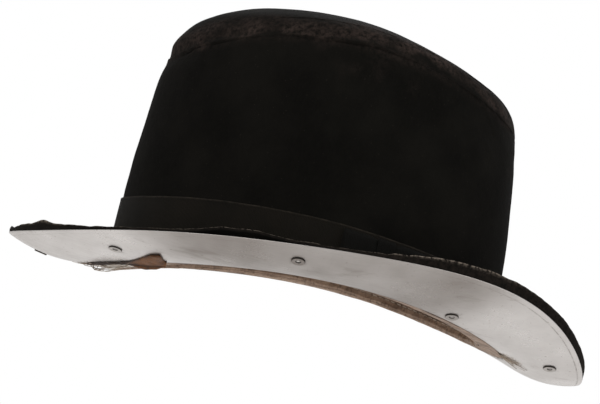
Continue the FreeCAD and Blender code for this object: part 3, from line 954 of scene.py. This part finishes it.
BOW_MIDDLE = sum(BOW_ENDS) / 2
BACKING_DEPTH = -RIBBON_THICKNESS - 2 * LAYER_GAP
LOOP_DEPTH = BACKING_DEPTH - RIBBON_THICKNESS - LAYER_GAP
KNOT_DEPTH = LOOP_DEPTH - LOOP_THICKNESS - LAYER_GAP
PATCH_RISE = np.linspace(0, 1, 22)[:, None]     # up a patch of ribbon


def ribbon_patch(node, xs, low, high, inner_depth, outer_depth):
    """A closed patch of ribbon on the crown's left side.

    xs are places along X, and low and high are the heights there. inner_depth is one number,
    and outer_depth is an array over (rows, places).
    """
    t = angles_at(xs)
    z = blend(low[None], high[None], PATCH_RISE)
    rounding = np.sqrt(np.clip(1 - (2 * PATCH_RISE - 1) ** 12, 0, 1))
    outside = wall_points(t, z, blend(inner_depth, outer_depth, 0.25 + 0.75 * rounding))
    inside = wall_points(t, z[::-1], inner_depth)
    rows = np.concatenate([outside, inside])
    piece = grid_object(node + "_ribbon", rows, {"edge": 0.0}, wrap=False, caps=True)
    finish_piece(piece, BOW, "ribbon", node)


def bow_limits(xs):
    t = angles_at(xs)
    return band_foot(t) + BOW_INSET, band_top(t) - BOW_INSET


FOLD_SHARE = 0.06       # part of a loop's length that its rounded end takes
LOOP_GATHER = 1.6       # how far each edge is drawn in at the knot


def bow_loop(node, start_x, end_x):
    """A flat loop of ribbon: a soft fold at its outer end, gathered towards the knot."""
    share = np.linspace(0, 1, 60)
    xs = blend(start_x, end_x, share)
    (low, high) = bow_limits(xs)
    fold = np.sqrt(np.clip(1 - (1 - np.minimum(share / FOLD_SHARE, 1)) ** 2, 0.02, 1))
    gathered = smooth(0.55, 1.0, share)
    low = low + LOOP_GATHER * gathered
    high = high - LOOP_GATHER * gathered
    pillow = 0.75 + 0.25 * np.sin(math.pi * share)
    thickness = LOOP_THICKNESS * fold * pillow
    pleats = 0.28 * gathered[None] * np.sin(PATCH_RISE * 5 * math.pi)
    outer = LOOP_DEPTH - thickness[None] + pleats
    ribbon_patch(node, xs, low, high, LOOP_DEPTH, outer)


def bow():
    bow_loop("bow_front_loop", BOW_ENDS[0], BOW_MIDDLE - 0.5)
    bow_loop("bow_back_loop", BOW_ENDS[1], BOW_MIDDLE + 0.5)
    xs = np.linspace(BOW_MIDDLE - BOW_KNOT_WIDTH / 2, BOW_MIDDLE + BOW_KNOT_WIDTH / 2, 26)
    (low, high) = bow_limits(xs)
    share = np.linspace(-1, 1, 26)
    curl = np.sqrt(np.clip(1 - share ** 8, 0.0, 1))
    folds = 0.12 * np.sin(share * 3 * math.pi)[None] * np.sin(math.pi * PATCH_RISE)
    outer = KNOT_DEPTH - RIBBON_THICKNESS * curl[None] + folds
    ribbon_patch("bow_knot", xs, low, high, KNOT_DEPTH, outer)


# Inside
LINING_BACK_GAP = 0.1     # between the lining and the stiffened cloth behind it


def side_lining():
    """The satin side lining with loose pleats."""
    t = all_round()
    low = foot_height(t) + LINING_START
    high = tip_edge_height(t, LINING_DEPTH) - LAYER_GAP
    share = np.linspace(0, 1, 60)[:, None]
    z = blend(low[None], high[None], share)
    inner = LINING_DEPTH + LINING_THICKNESS
    smooth_wall = wall_points(t, z, inner)
    squeezed = smooth_wall * np.array([1.0, 1.0, 0.12])
    pleats = 0.9 * np.abs(noise(squeezed, 9, 61)) + 0.4 * np.abs(noise(smooth_wall, 24, 63))
    inside = wall_points(t, z, inner + pleats * smooth(0.0, 0.12, share))
    outside = wall_points(t, z[::-6], LINING_DEPTH + LINING_BACK_GAP)
    piece = grid_object("side_lining", np.concatenate([outside, inside]))
    finish_piece(piece, LINING, "lining", "lining_side")


def tip_lining():
    """The domed tip lining, gathered at its rim."""
    t = all_round()
    rings = np.linspace(0.03, 1.0, 70)[:, None]
    below = tip_points(t[None], rings, LINING_DEPTH + LINING_THICKNESS)
    rays = np.stack([8 * np.cos(t), 8 * np.sin(t), 0 * t], axis=-1)[None] + 0 * below
    gathers = 1.2 * np.abs(noise(rays, 0.9, 65)) * smooth(0.6, 0.95, rings) * smooth(1.0, 0.97, rings)
    sag = 0.6 * (1 + noise(below, 40, 67)) * smooth(1.0, 0.9, rings)
    below[..., 2] -= gathers + sag
    above = tip_points(t[None], rings[::-5], LINING_DEPTH + LINING_BACK_GAP)
    poles = np.array([below[0].mean(axis=0), above[-1].mean(axis=0)])
    piece = grid_object("tip_lining", np.concatenate([below, above]), close_rows=False, poles=poles)
    finish_piece(piece, LINING, "lining", "lining_tip")


def front_droop(t):
    return 0.7 * hump(turn_from(t, -158), 0, 15) + 0.7 * hump(turn_from(t), 0, 16)


def sweatband_cover():
    """The leather band inside: creased, with a ragged rolled lower edge."""
    t = all_round(FINE_COLUMNS)
    ring = wall_points(t, foot_height(t), SWEATBAND_DEPTH)
    ragged = 0.45 * noise(ring, 7, 71) + 0.35 * noise(ring, 2.6, 73)
    low = foot_height(t) + 0.9 + ragged - front_droop(t)
    high = foot_height(t) + SWEATBAND_HEIGHT + 0.3 * noise(ring, 25, 75)
    share = (np.linspace(0, 1, 64) ** 1.5)[:, None]
    z = blend(low[None], high[None], share)
    inner = SWEATBAND_DEPTH + SWEATBAND_THICKNESS
    wall = wall_points(t, z, inner)
    squeezed = wall * np.array([1.0, 1.0, 0.22])
    creases = 0.35 * noise(squeezed, 5, 77) + 0.5 * noise(wall, 22, 79)
    roll = 0.7 * hump(z - low[None], 1.4, 1.2)
    seam = -0.3 * hump(z - low[None], 4.2, 0.45)
    back = 0.9 * hump(turn_from(t), 0, 20)[None] * noise(squeezed, 3.2, 81)
    depth = inner + creases * smooth(0, 3, z - low[None]) + roll + seam + np.maximum(back, -0.4)
    inside = wall_points(t, z, depth)
    outside = wall_points(t, z[::-7], SWEATBAND_DEPTH + 0.2)
    rows = np.concatenate([outside, inside])
    # Painted shade along the sunk seam line, darker at the lower edge, and stains in patches; the hidden
    # back is evenly darkened
    stain_and_painted_shade = 0.75 * hump(z - low[None], 4.2, 0.35) + 0.5 * smooth(0.8, 0.0, z - low[None])
    stain_and_painted_shade = stain_and_painted_shade + 0.35 * smooth(0.2, 0.6, noise(squeezed, 4, 83))
    stain_and_painted_shade = np.concatenate([np.zeros(outside.shape[:2]) + 0.3, np.clip(stain_and_painted_shade, 0, 1)])
    piece = grid_object("sweatband_cover", rows, {"stain_and_painted_shade": stain_and_painted_shade})
    finish_piece(piece, TAN, "tan_leather", "sweatband")


def flap_cover():
    """The sweatband's leather turned out under the brim: puckered, and worn thin at both edges."""
    t = all_round(FINE_COLUMNS)
    reaches = [0.0, 0.01, 0.05, 0.2, 0.5, 0.8, 1.0, 1.15, 1.35, 1.55, 1.75, 1.88, 1.94, 1.965, 1.975]
    reaches = np.array(reaches)
    base = np.array([brim_points(t, reach, 0) for reach in reaches])
    puckers = 0.30 * noise(base * np.array([1.0, 1.0, 0.0]), 4.5, 101) + 0.45 * noise(base, 17, 103)
    inside = smooth(0.0, 0.05, reaches)[:, None] * smooth(1.975, 1.9, reaches)[:, None]
    thickness = 0.15 + 0.7 * inside
    under = base.copy()
    under[..., 2] += 0.75 - thickness + 0.35 * puckers * inside
    over = np.array([brim_points(t, reach, 0.85) for reach in reaches[::-2]])
    rows = np.concatenate([under, over])
    # Painted shadow along the edge that meets the plate, and stains in patches
    stain_and_painted_shade = 0.8 * smooth(1.80, 1.96, reaches)[:, None] + 0.45 * smooth(0.1, 0.5, noise(base, 6, 105))
    place = turn_from(t)
    worn_through = smooth(-180, -174, place) * smooth(-140, -149, place)
    worn_through = np.clip(worn_through * (0.85 + 0.8 * noise(base, 8, 107)), 0, 1)
    # Worn-through leather is paler and less darkened; a patch near -120 degrees is darker
    stain_and_painted_shade = stain_and_painted_shade * (1 - 0.8 * worn_through) + 0.7 * hump(place, -120, 14)
    stain_and_painted_shade = then_zeros(np.clip(stain_and_painted_shade, 0, 1), over)
    piece = grid_object("flap_cover", rows, {"stain_and_painted_shade": stain_and_painted_shade, "pale": then_zeros(worn_through, over)})
    finish_piece(piece, TAN, "tan_leather", "sweatband_flap")


STITCH_COUNT = 150
STITCH_LIFT = 5.1           # above the sweatband's foot
STITCH_RADIUS = 0.28


def sweatband_stitches():
    """A row of short stitches that holds the sweatband's rolled edge."""
    stitches = []
    pitch = FULL_TURN / STITCH_COUNT
    for i in range(STITCH_COUNT):
        middle = pitch * (i + 0.5)
        half = 0.32 * pitch
        t = np.linspace(middle - half, middle + half, 7)
        bulge = 0.35 * np.sin(np.linspace(0, math.pi, 7)) - 0.15
        z = foot_height(t) + STITCH_LIFT - front_droop(t)
        path = wall_points(t, z, SWEATBAND_DEPTH + SWEATBAND_THICKNESS + 0.3 + bulge)
        tube = tube_points(path, STITCH_RADIUS)
        stitches.append(grid_object("stitch_%d" % i, tube, wrap=False, caps=True))
    piece = join("sweatband_stitches", stitches)
    finish_piece(piece, THREAD, "tan_leather")


def thread_path(start, end, drop, shape, wander):
    """A slack thread under the brim between two (degrees round, reach) places."""
    share = np.linspace(0, 1, 26)
    degrees = blend(start[0], end[0], share)
    reach = blend(start[1], end[1], share) + wander * np.sin(share * 7)
    places = [brim_points(np.array([math.radians(a)]), r, 0)[0] for (a, r) in zip(degrees, reach)]
    path = np.array(places)
    path[:, 2] -= 0.25 + drop * np.sin(math.pi * share ** shape)
    return path


def frayed_threads():
    """Loose threads: loops along the worn leather at the front left, and a tuft at the back."""
    random = np.random.default_rng(5)
    paths = []
    for i in range(16):
        start = (random.uniform(-178, -158), random.uniform(1.3, 2.04))
        end = (random.uniform(-152, -134), random.uniform(1.5, 2.05))
        paths.append(thread_path(start, end, random.uniform(0.8, 4.6), random.uniform(0.6, 1.2), 0.05))
    for i in range(8):
        start = (random.uniform(-177, -170), random.uniform(1.9, 2.05))
        end = (random.uniform(-184, -168), random.uniform(2.05, 2.22))
        paths.append(thread_path(start, end, random.uniform(0.1, 0.5), 1.0, 0.01))
    for i in range(22):
        start = (random.uniform(-20, -14), random.uniform(1.86, 2.02))
        end = (start[0] + random.uniform(-4, 9), random.uniform(2.08, 2.34))
        paths.append(thread_path(start, end, random.uniform(0.0, 0.6), 1.0, random.uniform(-0.01, 0.01)))
    threads = []
    for (i, path) in enumerate(paths):
        taper = 1 - 0.5 * np.linspace(0, 1, len(path))
        tube = tube_points(path, random.uniform(0.13, 0.24) * taper)
        threads.append(grid_object("thread_%d" % i, tube, wrap=False, caps=True))
    piece = join("frayed_threads", threads)
    finish_piece(piece, THREAD, "lining")


def inner_edge_at(x):
    """Side position and height of the plate's inner edge on the wearer's left, at places along X."""
    t = -np.arccos(x / PLATE_INNER_HALF[0])
    edge = brim_points(t, 2.0, 0.0)
    return edge[..., 1], edge[..., 2]


TAB_X = (-115.0, -74.2)     # its two ends along X
TAB_THICKNESS = 0.75
PLATE_SLOPE = 0.19          # of the plate's underside, outwards from its inner edge


def curled_tab():
    """A torn strip of brown leather along the plate's inner edge, flaring into a curled tab."""
    share = np.linspace(0, 1, 110)
    x = blend(TAB_X[0], TAB_X[1], share)
    (side, level) = inner_edge_at(x)
    ragged = noise(np.stack([x, 0 * x, 0 * x], axis=-1), 3.1, 91)
    flare = smooth(0.48, 0.84, share)
    cut = smooth(1.0, 0.88, share)
    up = 0.40 + 3.0 * flare * (0.10 + 0.90 * cut) + 0.12 * ragged
    down = 0.75 + 2.3 * smooth(0.5, 0.78, share) * (0.45 + 0.55 * cut) + 0.18 * ragged
    across = np.linspace(-1, 1, 21)[:, None]
    height = np.where(across > 0, across * up[None], across * down[None])
    out = np.where(height > 0, height / PLATE_SLOPE, 0.7 * height)
    curl = (0.4 + 0.8 * flare[None]) * (1 - across ** 2) + 0.75
    y = side[None] - out
    z = level[None] + height - curl
    lower = np.stack([x[None] + 0 * y, y, z], axis=-1)
    upper = lower + np.array([0.0, TAB_THICKNESS / 3, TAB_THICKNESS])
    rows = np.concatenate([lower, upper[::-1]])
    # Painted shadow on the thin strip along the plate's edge, painted shade along the fold, and darker torn
    # edges
    dark = 1 - smooth(0.45, 0.72, share)
    fold = hump(across, -0.12, 0.26) * (1 - 0.15 * flare[None])
    edges = smooth(0.8, 1.0, np.abs(across))
    stain_and_painted_shade = np.clip(0.95 * dark[None] + 0.8 * fold + 0.45 * edges, 0, 1)
    values = {"stain_and_painted_shade": np.concatenate([stain_and_painted_shade, stain_and_painted_shade[::-1]])}
    piece = grid_object("curled_tab", rows, values, wrap=False, caps=True)
    finish_piece(piece, BROWN, "brown_leather", "leather_tab")


# Studio
FLOOR_HEIGHT = -0.32
FLOOR_SIZE = 6.0
CAMERA_TURN = math.radians(4.0)
CAMERA_RISE = math.radians(0.6)
CAMERA_ROLL = math.radians(14.2)
CAMERA_DISTANCE = 1.1
CAMERA_AIM = Vector((-0.012, 0.0, 0.06275))
CAMERA_CENTRE = Vector((0.0, 0.0, 0.00275))
CAMERA_LENS = 121.3


def add_camera():
    """Looks at the wearer's left side from just below the brim, with the hat tipped in the picture."""
    forward = Vector((
        math.sin(CAMERA_TURN) * math.cos(CAMERA_RISE),
        math.cos(CAMERA_TURN) * math.cos(CAMERA_RISE),
        math.sin(CAMERA_RISE),
    ))
    right = Vector((math.cos(CAMERA_TURN), -math.sin(CAMERA_TURN), 0.0))
    up = right.cross(forward)
    tipped = up * math.cos(CAMERA_ROLL) - right * math.sin(CAMERA_ROLL)
    place = CAMERA_CENTRE - forward * CAMERA_DISTANCE
    view = (CAMERA_AIM - place).normalized()
    side = view.cross(tipped).normalized()
    above = side.cross(view)
    turn = Matrix((side, above, -view)).transposed().to_4x4()
    data = bpy.data.cameras.new("camera")
    data.lens = CAMERA_LENS
    data.sensor_width = 36.0
    camera = bpy.data.objects.new("camera", data)
    camera.matrix_world = Matrix.Translation(place) @ turn
    bpy.context.scene.collection.objects.link(camera)
    bpy.context.scene.camera = camera


def add_area_light(name, place, aim, size, power):
    data = bpy.data.lights.new(name, "AREA")
    data.shape = "RECTANGLE"
    data.size = size[0]
    data.size_y = size[1]
    data.energy = power
    light = bpy.data.objects.new(name, data)
    light.location = place
    light.rotation_euler = (Vector(aim) - Vector(place)).to_track_quat("-Z", "Y").to_euler()
    bpy.context.scene.collection.objects.link(light)


def mixed(tree, share, first, second):
    """The first shader where share is 0 and the second where it is 1."""
    mixer = tree.nodes.new("ShaderNodeMixShader")
    for (source, target) in zip((share, first, second), mixer.inputs):
        tree.links.new(source, target)
    return mixer.outputs[0]


def white_for_camera(tree, shaded, white_kind):
    """Plain white where the camera looks straight at a surface, and the shaded look for all other light."""
    seen = tree.nodes.new("ShaderNodeLightPath").outputs["Is Camera Ray"]
    white = tree.nodes.new(white_kind)
    white.inputs["Color"].default_value = (1.0, 1.0, 1.0, 1.0)
    return mixed(tree, seen, shaded, white.outputs[0])


def clear_from_below(tree, shaded):
    """Lets every ray that meets the underside of the floor pass through it."""
    underside = tree.nodes.new("ShaderNodeNewGeometry").outputs["Backfacing"]
    clear = tree.nodes.new("ShaderNodeBsdfTransparent").outputs[0]
    return mixed(tree, underside, shaded, clear)


def add_floor():
    half = FLOOR_SIZE / 2 / MM
    corners = np.array([(-half, -half, 0), (half, -half, 0), (half, half, 0), (-half, half, 0)])
    floor = new_object("floor", corners + np.array([0, 0, FLOOR_HEIGHT / MM]), [(0, 1, 2, 3)])
    look = Look("floor", Base_Color=(0.82, 0.81, 0.80), Roughness=0.9)
    shown = white_for_camera(look.tree, look.shader.outputs[0], "ShaderNodeEmission")
    shown = clear_from_below(look.tree, shown)
    look.put(shown, look.tree.nodes["Material Output"].inputs["Surface"])
    floor.data.materials.append(look.material)


def add_world():
    world = bpy.data.worlds.new("studio")
    world.use_nodes = True
    tree = world.node_tree
    dim = tree.nodes["Background"]
    dim.inputs["Color"].default_value = (1.0, 0.985, 0.97, 1.0)
    dim.inputs["Strength"].default_value = 0.55
    shown = white_for_camera(tree, dim.outputs[0], "ShaderNodeBackground")
    tree.links.new(shown, tree.nodes["World Output"].inputs["Surface"])
    bpy.context.scene.world = world


def main():
    crown_side()
    crown_tip()
    brim_cover()
    plate_cover()
    rivets()
    band_ribbon()
    bow()
    side_lining()
    tip_lining()
    sweatband_cover()
    flap_cover()
    sweatband_stitches()
    frayed_threads()
    curled_tab()
    for node in ("brim_board", "crown_side_shell", "crown_tip_shell"):
        keep_node(node, STIFFENER)
    keep_node("rivet_washers", WASHER)
    keep_node("bow_backing", BOW)
    for node in ("sweatband_reed", "sweatband_back_tape"):
        keep_node(node, TAN)
    add_camera()
    add_floor()
    add_world()
    add_area_light("key", (-0.9, -1.3, 1.3), (0, 0, 0.06), (1.2, 1.2), 14)
    add_area_light("fill", (1.3, -0.9, 0.6), (0, 0, 0.06), (1.0, 1.0), 6)
    add_area_light("back", (0.2, 1.4, 1.0), (0, 0, 0.08), (1.4, 0.8), 8)
    scene = bpy.context.scene
    scene.view_settings.view_transform = "Standard"
    scene.view_settings.look = "None"


main()
